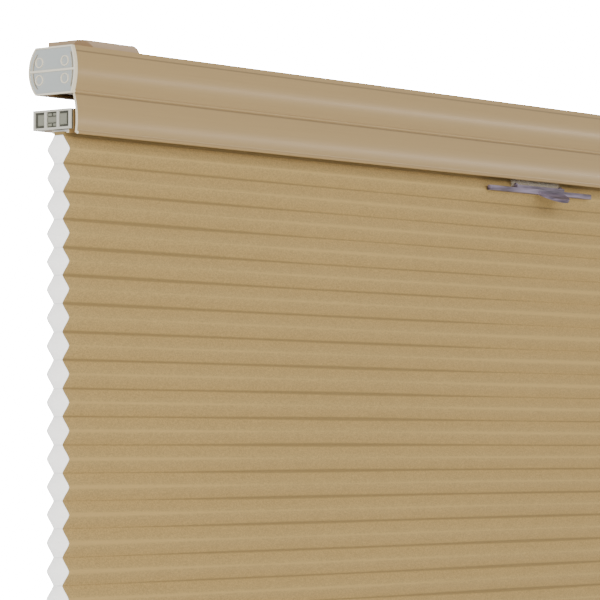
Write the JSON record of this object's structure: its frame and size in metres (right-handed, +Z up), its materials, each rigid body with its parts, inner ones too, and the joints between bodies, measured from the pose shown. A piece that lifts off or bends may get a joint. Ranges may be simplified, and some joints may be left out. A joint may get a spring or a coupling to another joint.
{
  "type": "top-down bottom-up cellular shade",
  "caption": "Cordless honeycomb shade with a two-lobed headrail, a sliding middle rail, a sliding bottom rail, clear pull handles and steel ceiling brackets.",
  "frame": {"origin": "on the ceiling plane, at the centre of the four ceiling holes of the two brackets, over the middle of the headrail", "axes": "+X along the width to the right, -Y to the room side (front), +Z up"},
  "size_m": [1.08, 0.0588, 1.2117],
  "materials": {
    "rail_paint": "satin",
    "bracket_paint": "satin",
    "clear_cap": "translucent",
    "cream_plastic": "satin",
    "grey_plastic": "matte",
    "white_plastic": "matte",
    "clear_handle": "gloss",
    "honeycomb_fabric": "matte",
    "lift_cord": "matte",
    "steel": "satin"
  },
  "bodies": {
    "headrail": {"headrail": "rail_paint", "end_cap_left": "clear_cap", "end_cap_right": "clear_cap", "bracket_left": "bracket_paint", "bracket_right": "bracket_paint", "cradle_left": "grey_plastic", "cradle_right": "grey_plastic", "lower_motor_case": "grey_plastic", "lower_motor_cover": "grey_plastic", "lower_motor_spring": "steel", "upper_motor_case": "grey_plastic", "upper_motor_cover": "grey_plastic", "upper_motor_spring": "steel", "lower_cord_left": "lift_cord", "lower_cord_right": "lift_cord", "upper_cord_left": "lift_cord", "upper_cord_right": "lift_cord"},
    "lower_shaft": {"lower_shaft": "steel", "lower_spool_left": "grey_plastic", "lower_spool_right": "grey_plastic", "lower_arbor": "grey_plastic"},
    "upper_shaft": {"upper_shaft": "steel", "upper_spool_left": "grey_plastic", "upper_spool_right": "grey_plastic", "upper_arbor": "grey_plastic"},
    "middle_rail": {"middle_rail": "rail_paint", "middle_rail_cap_left": "cream_plastic", "middle_rail_cap_right": "cream_plastic", "middle_rail_plug_left": "grey_plastic", "middle_rail_plug_right": "grey_plastic", "middle_rail_handle": "clear_handle", "fabric_strip_top": "white_plastic", "cord_grommet_left": "white_plastic", "cord_grommet_right": "white_plastic", "upper_cord_anchor_left": "grey_plastic", "upper_cord_anchor_right": "grey_plastic", "fabric": "honeycomb_fabric"},
    "bottom_rail": {"bottom_rail": "rail_paint", "bottom_rail_cap_left": "cream_plastic", "bottom_rail_cap_right": "cream_plastic", "bottom_rail_plug_left": "grey_plastic", "bottom_rail_plug_right": "grey_plastic", "bottom_rail_handle": "clear_handle", "fabric_strip_bottom": "white_plastic", "weight_bar": "steel", "lower_cord_anchor_left": "grey_plastic", "lower_cord_anchor_right": "grey_plastic"}
  },
  "joints": [
    {"name": "middle_rail_drop", "type": "slide", "parent": "headrail", "child": "middle_rail", "axis": [0, 0, -1], "range_m": [0, 0.365], "deforming": ["upper_cord_left", "upper_cord_right"]},
    {"name": "bottom_rail_lift", "type": "slide", "parent": "headrail", "child": "bottom_rail", "axis": [0, 0, 1], "range_m": [0, 0.66], "deforming": ["fabric", "lower_cord_left", "lower_cord_right"]},
    {"name": "lower_shaft_turn", "type": "hinge", "parent": "headrail", "child": "lower_shaft", "pos_m": [0, -0.0106, -0.0235], "axis": [1, 0, 0], "range_deg": [-5, 6205], "deforming": ["lower_motor_spring"]},
    {"name": "upper_shaft_turn", "type": "hinge", "parent": "headrail", "child": "upper_shaft", "pos_m": [0, 0.0096, -0.0235], "axis": [1, 0, 0], "range_deg": [-5, 3434], "deforming": ["upper_motor_spring"]}
  ],
  "couplings": [
    {"joint": "lower_shaft_turn", "follows": "bottom_rail_lift", "rad_per_m": 163.93},
    {"joint": "upper_shaft_turn", "follows": "middle_rail_drop", "rad_per_m": 163.93}
  ]
}
